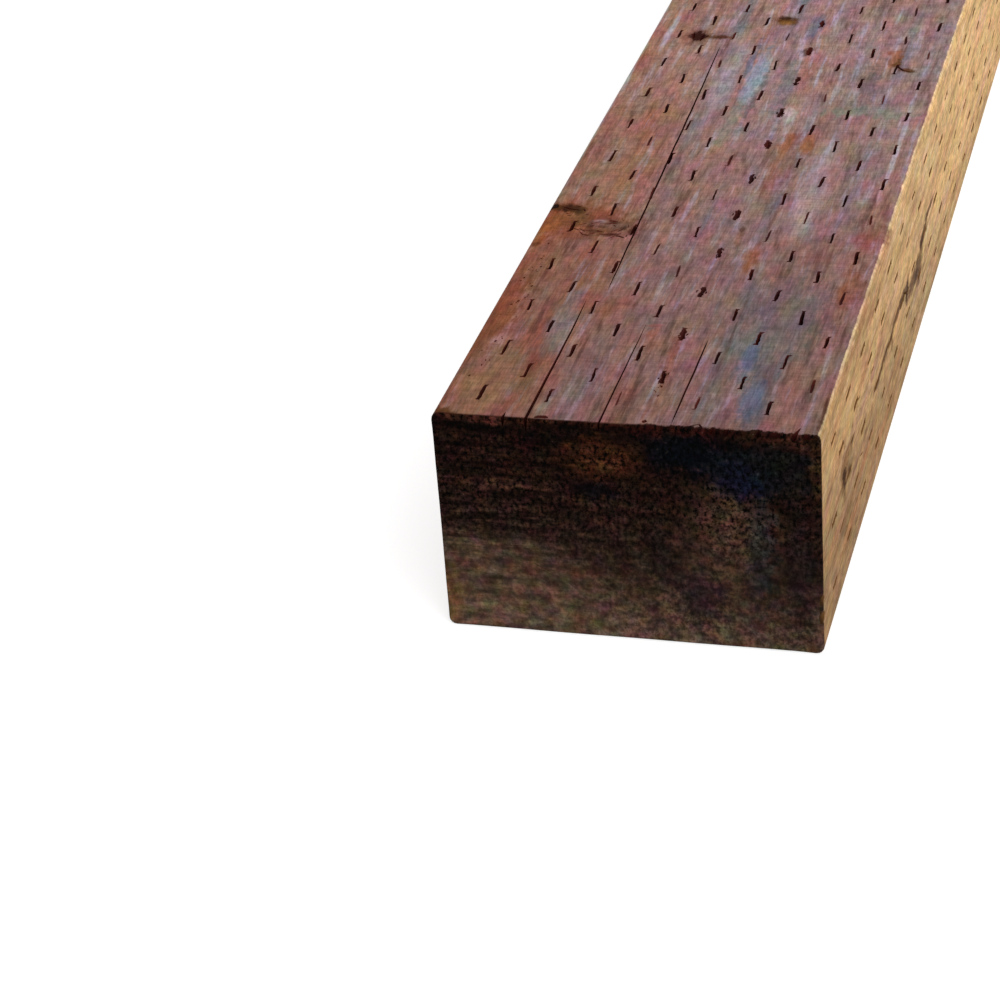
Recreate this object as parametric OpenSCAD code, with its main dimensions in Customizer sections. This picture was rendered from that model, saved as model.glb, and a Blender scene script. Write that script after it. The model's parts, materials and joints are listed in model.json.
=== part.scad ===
// Treated timber beam: one sawn piece of softwood, nominal 4 x 6 in, lying on its wide face.
// Millimetres. X runs across the wide face, Y along the grain and Z up.
// The origin is the middle of the underside, and the near end looks along -Y.

/* [Section] */
// Width of the beam, across the wide face
beam_w = 140; // [120:1:240]
// Height of the beam as it lies
beam_h = 89; // [60:1:190]
// Radius of the four eased long arrises
arris_r = 3; // [1:0.5:10]

/* [Length] */
// Cut length of the beam
beam_l = 2438; // [1000:1:4877]
// Width of the bevel that breaks the sawn edges round each end
end_bevel = 1; // [0.5:0.5:4]

/* [End checks] */
// Distance of each top end check from the left face
end_check_x = [35, 61.5, 87]; // [12:0.5:108]
// How far each top end check runs back from the near end
end_check_len = [97, 80, 75]; // [20:1:400]
// Depth of the end checks where they meet the near end
end_check_depth = 14; // [4:1:30]
// Opening of the end checks where they meet the near end
end_check_w = 0.8; // [0.4:0.1:3]

/* [Long check] */
// Distance of the long check from the left face, at its near tip
long_check_x = 41; // [20:0.5:100]
// Distance of the long check's near tip from the near end
long_check_start = 104; // [20:1:400]
// Length of the long check
long_check_len = 256; // [50:1:560]
// How far the long check drifts to the left over its length
long_check_drift = 5.5; // [0:0.5:10]
// Depth of the long check at its middle
long_check_depth = 10; // [3:1:30]
// Opening of the long check at its middle
long_check_w = 0.8; // [0.4:0.1:3]

/* [Side check] */
// Height of the right side's check above the underside
side_check_z = 42; // [15:0.5:45]
// Distance of the side check's near tip from the near end
side_check_start = 96; // [20:1:400]
// Length of the side check
side_check_len = 130; // [50:1:560]
// Depth of the side check at its middle
side_check_depth = 8; // [3:1:30]
// Opening of the side check at its middle
side_check_w = 1; // [0.4:0.1:3]

/* [Hidden] */
// Sides of a full circle on the arrises
round_fn = 48;
// How far a cutting solid stands out past the face that it cuts
over = 2;
near_end = -beam_l / 2;
left_face = -beam_w / 2;

// A rectangle centred on the origin, with its corners rounded to radius r.
module rounded_outline(w, h, r) {
  union() {
    square([w - 2 * r, h], center = true);
    square([w, h - 2 * r], center = true);
    for (x = [-1, 1], y = [-1, 1])
      translate([x * (w / 2 - r), y * (h / 2 - r)]) circle(r = r, $fn = round_fn);
  }
}

// A rectangle centred on the origin, with its corners cut off at 45 degrees.
module bevelled_outline(w, h, bevel) {
  x = w / 2;
  y = h / 2;
  polygon([
    [-x + bevel, -y], [x - bevel, -y], [x, -y + bevel], [x, y - bevel],
    [x - bevel, y], [-x + bevel, y], [-x, y - bevel], [-x, -y + bevel]
  ]);
}

// The sawn stock: its section run along the grain, with the edges round both ends broken.
module stock() {
  translate([0, 0, beam_h / 2]) intersection() {
    rotate([90, 0, 0])
      linear_extrude(beam_l, center = true) rounded_outline(beam_w, beam_h, arris_r);
    linear_extrude(beam_h + over, center = true) bevelled_outline(beam_w, beam_l, end_bevel);
    rotate([90, 0, 90])
      linear_extrude(beam_w + over, center = true) bevelled_outline(beam_l, beam_h, end_bevel);
  }
}

// A split that is widest and deepest at the end face and dies out at len along +Y.
// Its mouth lies in the plane z = 0.
module end_check(len, depth, w) {
  mouth = w * (len + over) / len;
  bottom = depth * (len + over) / len;
  intersection() {
    translate([0, 0, -bottom - over]) linear_extrude(bottom + 2 * over)
      polygon([[-mouth / 2, -over], [mouth / 2, -over], [0, len]]);
    rotate([90, 0, 90]) linear_extrude(mouth + over, center = true)
      polygon([[-over, over], [len, over], [len, 0], [-over, -bottom]]);
  }
}

// A split in the middle of a face, pointed at both ends, len along +Y from its near tip.
// Its mouth lies in the plane z = 0.
module face_check(len, depth, w) {
  intersection() {
    translate([0, 0, -depth - over]) linear_extrude(depth + 2 * over)
      polygon([[0, 0], [w / 2, len / 2], [0, len], [-w / 2, len / 2]]);
    rotate([90, 0, 90]) linear_extrude(w + over, center = true)
      polygon([[0, over], [0, 0], [len / 2, -depth], [len, 0], [len, over]]);
  }
}

module top_checks() {
  for (i = [0 : len(end_check_x) - 1])
    translate([left_face + end_check_x[i], near_end, beam_h])
      end_check(end_check_len[i], end_check_depth, end_check_w);
  translate([left_face + long_check_x, near_end + long_check_start, beam_h])
    rotate([0, 0, atan(long_check_drift / long_check_len)])
      face_check(long_check_len, long_check_depth, long_check_w);
}

module side_check() {
  translate([beam_w / 2, near_end + side_check_start, side_check_z])
    rotate([0, 90, 0]) face_check(side_check_len, side_check_depth, side_check_w);
}

module timber_beam() {
  color([0.50, 0.37, 0.34]) difference() {
    stock();
    top_checks();
    side_check();
  }
}

timber_beam();
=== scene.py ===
"""Looks of a pressure-treated, incised timber beam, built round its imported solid.

The beam is one sawn piece of 4x6 stock, so all that shows of it is one closed mesh. Its
four long faces carry the tooth cuts of the incising rollers, and the drying checks.

Lengths are in millimetres and turn into metres only when the Blender objects are made.
A place on a long face is (across, along): across runs clockwise round the section, seen
from the near end, and along runs from the near end. A place in the wood is (x, y, z) from
the near end's lower left corner.
"""

import json
import math
import random
from collections import namedtuple

import bpy
import numpy as np
from mathutils import Matrix, Vector, noise
from mathutils.geometry import delaunay_2d_cdt

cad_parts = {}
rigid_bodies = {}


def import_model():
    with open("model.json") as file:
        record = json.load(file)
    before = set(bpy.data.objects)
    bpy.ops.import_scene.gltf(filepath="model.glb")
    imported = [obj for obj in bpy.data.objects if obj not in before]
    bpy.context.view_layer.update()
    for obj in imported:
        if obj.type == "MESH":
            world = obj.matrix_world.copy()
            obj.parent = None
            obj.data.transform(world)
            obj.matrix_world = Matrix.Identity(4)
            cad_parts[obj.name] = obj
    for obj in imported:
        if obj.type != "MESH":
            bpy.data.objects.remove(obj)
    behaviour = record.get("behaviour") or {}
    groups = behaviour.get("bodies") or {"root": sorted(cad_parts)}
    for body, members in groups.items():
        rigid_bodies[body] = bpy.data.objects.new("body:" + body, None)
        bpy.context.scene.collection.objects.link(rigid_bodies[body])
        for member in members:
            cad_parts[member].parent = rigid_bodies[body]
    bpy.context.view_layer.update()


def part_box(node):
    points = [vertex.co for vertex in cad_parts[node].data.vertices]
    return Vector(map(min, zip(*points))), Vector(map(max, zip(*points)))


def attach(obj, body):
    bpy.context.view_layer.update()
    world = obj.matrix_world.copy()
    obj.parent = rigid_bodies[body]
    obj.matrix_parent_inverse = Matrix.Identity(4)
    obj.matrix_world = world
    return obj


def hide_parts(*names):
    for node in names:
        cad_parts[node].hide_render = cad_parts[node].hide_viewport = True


MM = 0.001
SEED = 4689

# Section and ends
ARRIS_RADIUS = 3
ARRIS_WANDER = 0.5  # how far the radius of a planed arris strays
ARRIS_WAVE = 170
ARRIS_STEPS = 4
END_ROUND = 1
END_ROUND_STEPS = 3

# Incising: rows of tooth cuts along the grain, neighbouring rows half a pitch apart
CUT_PITCH = 35.3
CUT_LENGTH = 12
CUT_DEPTH = 6
WIDE_FACE_CUT = 1.25  # how wide a cut is
NARROW_FACE_CUT = 2.3
ROW_STRAY = 0.35
PITCH_STRAY = 0.7
WIDE_ROWS = [14 + 12.6 * k + (3.4 if k > 5 else 0) for k in range(10)]
NARROW_ROWS = [15.1, 28.5, 48.3, 61.2, 74.8]
SEEN_FACES = ("top", "right")  # their near ends have their own list of chips
TORN_ROW = 5  # the row on the top face whose tooth tore the wood

# How a tooth cuts: its length, width and depth as shares of the usual, how far it flicks out
# at each corner, how ragged its rim is, and how many of its cuts are only dents
Tooth = namedtuple("Tooth", "length width depth flicks ragged faint")
CLEAN_TOOTH = Tooth(1, 1, 1, flicks=(0.85, 0, 0.95, 0), ragged=0.14, faint=0.14)
TORN_TOOTH = Tooth(0.88, 1.75, 0.45, flicks=(0.25, 0.3, 0.25, 0.3), ragged=0.6, faint=0)
FAINT_PRESS = (0.06, 0.16)
FIRM_PRESS = (0.7, 1)

# Mesh density, and how clear of each other the vertices are kept
ROW_STEP = 8
END_EDGE_STEP = 4
END_EDGE_CLEAR = 1.6
SCATTER_STEP = 8
NEAR_SCATTER_STEP = 4
NEAR_SCATTER_REACH = 460
SCATTER_STRAY = 0.3
SCATTER_MARGIN = 2.2
END_SCATTER_STEP = 2
RIM_CLEAR = 0.9
CRACK_STEP = 7
CRACK_WAVES = (0.1, 0.06)  # how fast a crack wanders, across and along the grain
FISSURE_STEP = 3
CHIP_STEP = 1.5
MERGE_REACH = 1e-3
SHARP_ANGLE = math.radians(35)

# Relief of the faces
HOLLOW_DEPTH = 0.25
HOLLOW_SIZE = (38, 150)
HOLLOW_FADE = 6  # how far from an arris the hollows are full
SAW_RIDGE_DEPTH = 0.12
SAW_RIDGE_SIZE = (60, 2.6)
SAW_TEAR_SIZE = (5, 4)
SAW_FADE = 5

# The bake map, in shares of its side: the long faces side by side, under the two ends
UV_MARGIN = 0.01
UV_FACES = (0.98, 0.86)
UV_END = (0.48, 0.1)
UV_END_START = 0.89

scene = bpy.context.scene


def add_object(name, data):
    made = bpy.data.objects.new(name, data)
    scene.collection.objects.link(made)
    return made


# ---- camera

CAMERA_PLACE = (287.4, -861, 571.7)
CAMERA_TURNS = ((17.045, "Z"), (60.157, "X"), (-4.613, "Z"))  # in degrees
CAMERA_LENS = 104
CAMERA_SENSOR = 36
CAMERA_REACH = 100  # metres


def make_camera(corner):
    """The camera at the photograph's viewing angle. corner is the near end's lower left."""
    data = bpy.data.cameras.new("camera")
    data.lens = CAMERA_LENS
    data.sensor_width = CAMERA_SENSOR
    data.clip_end = CAMERA_REACH
    place = Matrix.Translation((corner + Vector(CAMERA_PLACE)) * MM)
    for angle, axis in CAMERA_TURNS:
        place @= Matrix.Rotation(math.radians(angle), 4, axis)
    camera = add_object("camera", data)
    camera.matrix_world = place
    scene.camera = camera


# ---- recesses

def nearest_on(point, start, end):
    """(distance, share of the way) of the point nearest to point on a segment."""
    px, py = point[0] - start[0], point[1] - start[1]
    dx, dy = end[0] - start[0], end[1] - start[1]
    share = max(0, min(1, (px * dx + py * dy) / (dx * dx + dy * dy)))
    return math.hypot(px - share * dx, py - share * dy), share


class Recess:
    """A narrow V-shaped recess in a face: a tooth cut or a check.

    rim is a chain of (across, along) points. It closes on itself, or where the recess runs
    out through an end it starts and stops there. A line of bottoms is a list of (across,
    along, depth).
    """

    def __init__(self, rim, bottoms, runs_out=0):
        self.rim = rim
        self.bottoms = bottoms
        self.runs_out = runs_out  # -1 through the near end, 1 through the far end
        places = np.array(rim)
        self.low = places.min(0)
        self.high = places.max(0)

    def rim_edges(self):
        ahead = self.rim[1:] if self.runs_out else self.rim[1:] + self.rim[:1]
        return list(zip(self.rim, ahead))

    def near(self, point, margin=1e-6):
        return all(self.low[i] - margin <= point[i] <= self.high[i] + margin for i in (0, 1))

    def holds(self, point):
        x, y = point
        beyond = [(u, v + self.runs_out) for u, v in (self.rim[-1], self.rim[0])]
        outline = self.rim + (beyond if self.runs_out else [])
        inside = False
        for (ax, ay), (bx, by) in zip(outline, outline[1:] + outline[:1]):
            if (ay > y) != (by > y) and x < ax + (y - ay) * (bx - ax) / (by - ay):
                inside = not inside
        return inside

    def depth_at(self, point):
        if not self.near(point) or not self.holds(point):
            return 0
        to_rim = min(nearest_on(point, a, b)[0] for a, b in self.rim_edges())
        to_bottom, depth = math.inf, 0
        for line in self.bottoms:
            for a, b in zip(line, line[1:]):
                distance, share = nearest_on(point, a, b)
                if distance < to_bottom:
                    to_bottom, depth = distance, a[2] + share * (b[2] - a[2])
        if to_rim + to_bottom < 1e-9:
            return 0
        return depth * to_rim / (to_rim + to_bottom)


def tooth_cut(rng, tooth, across, along, width):
    """One cut of an incising tooth: a slit, swollen somewhere, with a flick at its ends."""
    press = rng.uniform(*(FAINT_PRESS if rng.random() < tooth.faint else FIRM_PRESS))
    half = CUT_LENGTH / 2 * rng.uniform(0.85, 1.08) * tooth.length
    side = width / 2 * rng.uniform(0.75, 1.15) * tooth.width
    lean = rng.uniform(-0.45, 0.15)
    foot = rng.uniform(0.8, 1.3)
    depth = CUT_DEPTH * press * tooth.depth
    flicks = [max(0, rng.gauss(mean, 0.25)) for mean in tooth.flicks]
    swell = rng.uniform(-0.5, 0.5)
    ragged = tooth.ragged

    def at(u, v):
        return (across + u + lean * v / half + rng.uniform(-ragged, ragged), along + v)

    def girth(v):
        return side * rng.uniform(0.9, 1.1) * (1.1 - 0.2 * (v / half - swell) ** 2)

    def flank(way):
        """One long side of the slit, from its near end to its far end."""
        low, high = (flicks[1], flicks[2]) if way > 0 else (flicks[0], flicks[3])
        inner = [(k / 2 - 1) * (half - 1.6 * foot) for k in range(5)]
        return [
            at(way * (0.6 * side + low), -half + rng.uniform(0, 0.5)),
            at(way * (0.7 * side + 0.7 * low), -half + foot),
            *(at(way * girth(v), v) for v in inner),
            at(way * (0.7 * side + 0.7 * high), half - foot),
            at(way * (0.6 * side + high), half - rng.uniform(0, 0.5)),
        ]

    rim = flank(1) + flank(-1)[::-1]
    ragged = 0
    inset, reach = half - 0.7 * foot, half - 2.2 * foot
    profile = ((-inset, 0.45), (-reach, 0.9), (0, 1), (reach, 0.85), (inset, 0.35))
    slit = [(*at(0, v), share * depth) for v, share in profile]
    bottoms = [slit]
    heel, toe = slit[0], slit[-1]
    for k, (end, way) in enumerate(((heel, -1), (heel, 1), (toe, 1), (toe, -1))):
        if flicks[k] > 0.35:
            tip = (end[0] + way * (side + 0.6 * flicks[k]), end[1], 0.3 * depth)
            bottoms.append([end, tip])
    return Recess(rim, bottoms)


def stations(path, step):
    """Points every step or so along a path, each with its share of the way."""
    legs = [math.dist(a, b) for a, b in zip(path, path[1:])]
    found = [(path[0], 0)]
    done = 0
    for a, b, leg in zip(path, path[1:], legs):
        count = max(2, round(leg / step))
        for share in (k / count for k in range(1, count + 1)):
            place = tuple(p + share * (q - p) for p, q in zip(a, b))
            found.append((place, (done + share * leg) / sum(legs)))
        done += leg
    return found


def beside(place, side, reach):
    return (place[0] + reach * side[0], place[1] + reach * side[1])


def crack(path, width, depth, runs_out=0, wander=0, step=CRACK_STEP, blunt=0.6):
    """A check or split along a path. It is widest in the middle, or at the end it runs out of."""
    line = stations(path, step)
    middle, left, right = [], [], []
    for k, (place, share) in enumerate(line):
        before = line[max(k - 1, 0)][0]
        after = line[min(k + 1, len(line) - 1)][0]
        length = math.dist(before, after)
        side = ((after[1] - before[1]) / length, -(after[0] - before[0]) / length)
        stray = wander * noise.noise(Vector((place[0] * CRACK_WAVES[0], place[1] * CRACK_WAVES[1], 7)))
        open_share = 1 - share if runs_out else 4 * share * (1 - share)
        shape = max(open_share, 0) ** blunt
        if runs_out and k == 0:
            side, stray = (math.copysign(1, side[0]), 0), 0
        centre = beside(place, side, stray)
        middle.append((*centre, depth * shape))
        if shape > 1e-6:
            right.append(beside(centre, side, width / 2 * shape))
            left.append(beside(centre, side, -width / 2 * shape))
    tip = middle.pop()[:2]
    start = [] if runs_out else [middle.pop(0)[:2]]
    return Recess(start + right + [tip] + left[::-1], [middle], runs_out)


# ---- faces

Face = namedtuple("Face", "name width origin across out rows phase cut_width torn_row")
Patch = namedtuple("Patch", "places depths flat triangles near far left right")


def make_faces(size):
    """The four long faces, clockwise round the section as seen from the near end."""
    wide, tall = size.x, size.z
    x, z = Vector((1, 0, 0)), Vector((0, 0, 1))
    broad, slim = WIDE_FACE_CUT, NARROW_FACE_CUT
    return [
        Face("top", wide, Vector((0, 0, tall)), x, z, WIDE_ROWS, 19, broad, TORN_ROW),
        Face("right", tall, Vector((wide, 0, tall)), -z, x, NARROW_ROWS, 26.2, slim, None),
        Face("under", wide, Vector((wide, 0, 0)), -x, -z, WIDE_ROWS, 30, broad, None),
        Face("left", tall, Vector((0, 0, 0)), z, -x, NARROW_ROWS, 12, slim, None),
    ]


def tooth_cuts(face, length):
    """All the tooth cuts of a face. One that an end has sawn through runs out of it."""
    rng = random.Random(f"{SEED} {face.name}")
    found = []
    for k, row in enumerate(face.rows):
        tooth = TORN_TOOTH if k == face.torn_row else CLEAN_TOOTH
        along = face.phase + (k % 2) * CUT_PITCH / 2 - CUT_PITCH
        while along < length + CUT_LENGTH / 2:
            across = row + rng.uniform(-ROW_STRAY, ROW_STRAY)
            place = along + rng.uniform(-PITCH_STRAY, PITCH_STRAY)
            cut = cut_or_stub(rng, tooth, face, across, place, length)
            if cut:
                found.append(cut)
            if cut and tooth is TORN_TOOTH and not cut.runs_out:
                found += tears((across, place), (2, 4.8), 5, 1.5)
            along += CUT_PITCH
    return found


def cut_or_stub(rng, tooth, face, across, along, length):
    """A tooth cut, or what the saw left of it, or None where that is too short."""
    clear, shortest = 1.5, 3
    reach = CUT_LENGTH / 2 + 1
    if END_ROUND + clear < along - reach and along + reach < length - END_ROUND - clear:
        return tooth_cut(rng, tooth, across, along, face.cut_width)
    ends = ((END_ROUND, -1), (length - END_ROUND, 1))
    for edge, way in ends[face.name in SEEN_FACES :]:
        stub = along - way * CUT_LENGTH / 2
        if (edge - along) * way < reach + clear and (edge - stub) * way > shortest:
            path = [(across, edge), (across + 0.2, stub)]
            return crack(path, face.cut_width, 0.8 * CUT_DEPTH, way, step=4, blunt=0.3)


def end_positions(recesses, low, high, way):
    """Where the vertices of an end's edge lie across a face, with those of what runs out."""
    stops = []
    for recess in recesses:
        if recess.runs_out == way:
            stops += [recess.rim[-1][0], recess.bottoms[0][0][0], recess.rim[0][0]]
    count = round((high - low) / END_EDGE_STEP)
    even = [low + (high - low) * k / count for k in range(count + 1)]
    clear = [u for u in even[1:-1] if all(abs(u - s) > END_EDGE_CLEAR for s in stops)]
    return sorted([low, high] + clear + stops)


def scatter(rng, face, length, index):
    """Places over a face, off its recesses, that carry the face's slight hollows."""
    found = []
    along = END_ROUND + SCATTER_STEP / 2
    side, end = SCATTER_MARGIN + ARRIS_RADIUS, SCATTER_MARGIN + END_ROUND
    flat = face.width - 2 * ARRIS_RADIUS
    while along < length - end:
        step = NEAR_SCATTER_STEP if along < NEAR_SCATTER_REACH else SCATTER_STEP
        count = int(flat / step)
        for k in range(count):
            stray = [rng.uniform(-SCATTER_STRAY, SCATTER_STRAY) * step for _ in range(2)]
            place = (ARRIS_RADIUS + (k + 0.5) * flat / count + stray[0], along + stray[1])
            on_face = side < place[0] < face.width - side
            inside = end < place[1] < length - end
            if on_face and inside and not index.any_near(place, RIM_CLEAR):
                found.append(place)
        along += step
    return found


class RecessIndex:
    """Finds the recesses near a place quickly, by their stretch along the grain."""

    STRETCH = 20

    def __init__(self, recesses):
        self.shelves = {}
        for recess in recesses:
            first = int((recess.low[1] - 2) // self.STRETCH)
            last = int((recess.high[1] + 2) // self.STRETCH)
            for shelf in range(first, last + 1):
                self.shelves.setdefault(shelf, []).append(recess)

    def around(self, place):
        return self.shelves.get(int(place[1] // self.STRETCH), [])

    def any_near(self, place, margin):
        return any(recess.near(place, margin) for recess in self.around(place))

    def depth_at(self, place):
        return max((recess.depth_at(place) for recess in self.around(place)), default=0)


def hollow(face, across, along):
    """How far the planed face lies under its flat plane, never above it."""
    edge = min(across - ARRIS_RADIUS, face.width - ARRIS_RADIUS - across) / HOLLOW_FADE
    fade = max(0, min(1, edge))
    wave = noise.noise(Vector((across / HOLLOW_SIZE[0], along / HOLLOW_SIZE[1], face.phase)))
    return HOLLOW_DEPTH * fade * (0.5 + 0.5 * max(-1, min(1, 1.6 * wave)))


def triangulate(face, recesses, radii_left, radii_right, rows, length):
    """One long face: a flat sheet of triangles, pushed in where the recesses are."""
    index = RecessIndex(recesses)
    rights = [face.width - radius for radius in radii_right]
    near = end_positions(recesses, radii_left[0], rights[0], -1)
    far = end_positions(recesses, radii_left[-1], rights[-1], 1)
    points, edges = [], []

    def add(places, closed=False):
        found = list(range(len(points), len(points) + len(places)))
        points.extend(Vector(place[:2]) for place in places)
        edges.extend(zip(found, found[1:] + (found[:1] if closed else [])))
        return found

    near_ids = add([(u, rows[0]) for u in near])
    right_ids = add(list(zip(rights, rows)))
    far_ids = add([(u, rows[-1]) for u in far])
    left_ids = add(list(zip(radii_left, rows)))
    border = near_ids[:-1] + right_ids[:-1] + far_ids[:0:-1] + left_ids[:0:-1]
    for recess in recesses:
        add(recess.rim, closed=not recess.runs_out)
        for line in recess.bottoms:
            add(line)
    rng = random.Random(f"{SEED} scatter {face.name}")
    points.extend(Vector(place) for place in scatter(rng, face, length, index))

    flat, _, triangles, origins, _, _ = delaunay_2d_cdt(points, edges, [border], 1, MERGE_REACH)
    made = {k: i for i, origin in enumerate(origins) for k in origin}
    depths = [index.depth_at(place) for place in flat]
    places = []
    for place, depth in zip(flat, depths):
        sunk = max(depth, hollow(face, *place)) if depth < HOLLOW_DEPTH else depth
        spot = face.origin + face.across * place.x + Vector((0, place.y, 0))
        places.append(spot - face.out * sunk)
    ids = [[made[k] for k in side] for side in (near_ids, far_ids, left_ids, right_ids)]
    return Patch(places, depths, [tuple(place) for place in flat], triangles, *ids)


# ---- the whole mesh

class MeshBuilder:
    """Collects the vertices with their depth under the faces, and the polygons.

    Each corner of a polygon has its own depth, for the colour, and its own UV.
    """

    def __init__(self):
        self.places, self.depths, self.polygons = [], [], []
        self.corner_depths, self.uvs = [], []

    def vertex(self, place, depth=0):
        self.places.append(place)
        self.depths.append(depth)
        return len(self.places) - 1

    def polygon(self, corners, uvs, bare=False):
        self.polygons.append(corners)
        self.corner_depths += [0 if bare else self.depths[k] for k in corners]
        self.uvs += uvs


def arris_radii(rows, k):
    """The radius of one arris at each row, straying slowly as a planed arris does."""
    strays = [noise.noise(Vector((v / ARRIS_WAVE, 3.1 * k, 0.5))) for v in rows]
    return [ARRIS_RADIUS + ARRIS_WANDER * stray for stray in strays]


def side_uv(across, along, size):
    round_all = 2 * (size.x + size.z) + 2 * ARRIS_RADIUS
    return (UV_MARGIN + UV_FACES[0] * across / round_all, UV_MARGIN + UV_FACES[1] * along / size.y)


def end_uv(place, size, far):
    u = UV_MARGIN + UV_END[0] * place.x / size.x + (0.5 if far else 0)
    return (u, UV_END_START + UV_END[1] * place.z / size.z)


def add_patch(mesh, face, patch, start, size):
    """Adds a long face, and returns the numbers of its vertices in the mesh."""
    used = set(patch.near + patch.far + patch.left + patch.right)
    used.update(k for triangle in patch.triangles for k in triangle)
    ids = {k: mesh.vertex(patch.places[k], patch.depths[k]) for k in sorted(used)}
    for triangle in patch.triangles:
        corners = [ids[k] for k in triangle]
        uvs = [side_uv(start + patch.flat[k][0], patch.flat[k][1], size) for k in triangle]
        mesh.polygon(corners, uvs)
    return ids


def add_arris(mesh, lefts, rights, corner_lines, radii, rows, start, size):
    """Rounds the corner between two faces. Returns the columns of vertices inside it."""
    columns = []
    for step in range(1, ARRIS_STEPS):
        angle = math.pi / 2 * step / ARRIS_STEPS
        out_a, out_b, corner = corner_lines
        column = []
        for radius, along in zip(radii, rows):
            centre = corner - (out_a + out_b) * radius
            spoke = out_a * math.cos(angle) + out_b * math.sin(angle)
            column.append(mesh.vertex(centre + spoke * radius + Vector((0, along, 0))))
        columns.append(column)
    lines = [lefts, *columns, rights]
    for k, (one, other) in enumerate(zip(lines, lines[1:])):
        across = [start + ARRIS_RADIUS * (2 * s / ARRIS_STEPS - 1) for s in (k, k + 1)]
        for row in range(len(rows) - 1):
            corners = [one[row], other[row], other[row + 1], one[row + 1]]
            spots = [(across[i], rows[row + j]) for i, j in ((0, 0), (1, 0), (1, 1), (0, 1))]
            mesh.polygon(corners, [side_uv(*spot, size) for spot in spots])
    return columns


def add_end_face(mesh, corners, size, far, bare=False):
    mesh.polygon(corners, [end_uv(mesh.places[c], size, far) for c in corners], bare)


def add_end(mesh, ring, inwards, size, length, far):
    """Rounds an end's edge and closes the end with a sawn face."""
    way = 1 if far else -1
    rng = random.Random(f"{SEED} end {far}")
    rings = [ring]
    for step in range(1, END_ROUND_STEPS + 1):
        angle = math.pi / 2 * step / END_ROUND_STEPS
        forward = END_ROUND * math.sin(angle)
        inset = END_ROUND * (1 - math.cos(angle))
        made = []
        for vertex, inward in zip(ring, inwards):
            depth = mesh.depths[vertex]
            moved = inward * max(0, inset * rng.uniform(0.85, 1.15) - depth)
            place = mesh.places[vertex] + moved + Vector((0, way * forward, 0))
            made.append(mesh.vertex(place, depth))
        rings.append(made)
    count = len(ring)
    for one, other in zip(rings, rings[1:]):
        for k in range(count):
            corners = [one[k], one[(k + 1) % count], other[(k + 1) % count], other[k]]
            add_end_face(mesh, corners if far else corners[::-1], size, far)
    close_end(mesh, rings[-1], size, length, far, rng)


def close_end(mesh, ring, size, length, far, rng):
    """The sawn end: a sheet of triangles with the ridges that the saw left."""
    border = [Vector((mesh.places[k].x, mesh.places[k].z)) for k in ring]
    if far:
        border = border[::-1]
    loop = list(range(len(border)))
    inner = []
    margin = END_ROUND + END_EDGE_CLEAR
    for z in np.arange(margin, size.z - margin, END_SCATTER_STEP):
        for x in np.arange(margin, size.x - margin, END_SCATTER_STEP):
            place = Vector((x, z)) + Vector((rng.uniform(-0.5, 0.5), rng.uniform(-0.4, 0.4)))
            if min((place - spot).length for spot in border) > RIM_CLEAR:
                inner.append(place)
    points = border + inner
    flat, _, triangles, origins, _, _ = delaunay_2d_cdt(points, [], [loop], 1, MERGE_REACH)
    used = {k for triangle in triangles for k in triangle}
    ids = {}
    for spot in sorted(used):
        rims = [k for k in origins[spot] if k < len(border)]
        if rims:
            ids[spot] = ring[len(border) - 1 - rims[0] if far else rims[0]]
            continue
        place = flat[spot]
        sunk = saw_relief(place, size)
        along = length - sunk if far else sunk
        ids[spot] = mesh.vertex(Vector((place.x, along, place.y)))
    for triangle in triangles:
        corners = [ids[k] for k in triangle]
        add_end_face(mesh, corners[::-1] if far else corners, size, far, bare=True)


def saw_relief(place, size):
    """How far a sawn end lies under its plane: level ridges, and torn grain between them."""
    edge = min(place.x, size.x - place.x, place.y, size.z - place.y) / SAW_FADE
    fade = max(0, min(1, edge))
    ridge = noise.noise(Vector((place.x / SAW_RIDGE_SIZE[0], place.y / SAW_RIDGE_SIZE[1], 1)))
    torn = noise.noise(Vector((place.x / SAW_TEAR_SIZE[0], place.y / SAW_TEAR_SIZE[1], 9)))
    return SAW_RIDGE_DEPTH * fade * (1 + 0.5 * ridge + 0.5 * torn)


def build_wood(size, splits):
    """The whole beam as one closed mesh. splits holds the faces' splits, by their names."""
    length = size.y
    faces = make_faces(size)
    count = round((length - 2 * END_ROUND) / ROW_STEP)
    rows = [END_ROUND + (length - 2 * END_ROUND) * k / count for k in range(count + 1)]
    radii = [arris_radii(rows, k) for k in range(len(faces))]  # the arris before each face
    mesh = MeshBuilder()
    starts = [0]
    for face in faces:
        starts.append(starts[-1] + face.width)
    patches, ids = [], []
    for k, face in enumerate(faces):
        recesses = tooth_cuts(face, length) + splits.get(face.name, [])
        sides = (radii[k], radii[(k + 1) % len(faces)])
        patches.append(triangulate(face, recesses, *sides, rows, length))
        ids.append(add_patch(mesh, face, patches[k], starts[k], size))

    rings = {False: [], True: []}
    inwards = {False: [], True: []}
    for k, face in enumerate(faces):
        following = (k + 1) % len(faces)
        neighbour = faces[following]
        rights = [ids[k][n] for n in patches[k].right]
        lefts = [ids[following][n] for n in patches[following].left]
        frame_lines = (face.out, neighbour.out, neighbour.origin)
        between = (mesh, rights, lefts, frame_lines, radii[following], rows)
        columns = add_arris(*between, starts[k + 1], size)
        for far, row, side in ((False, 0, patches[k].near), (True, -1, patches[k].far)):
            rings[far] += [ids[k][n] for n in side] + [column[row] for column in columns]
            spokes = [math.pi / 2 * s / ARRIS_STEPS for s in range(1, ARRIS_STEPS)]
            inwards[far] += [-face.out] * len(side)
            inwards[far] += [-face.out * math.cos(a) - neighbour.out * math.sin(a) for a in spokes]
    for far in (False, True):
        add_end(mesh, rings[far], inwards[far], size, length, far)
    return mesh


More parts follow.
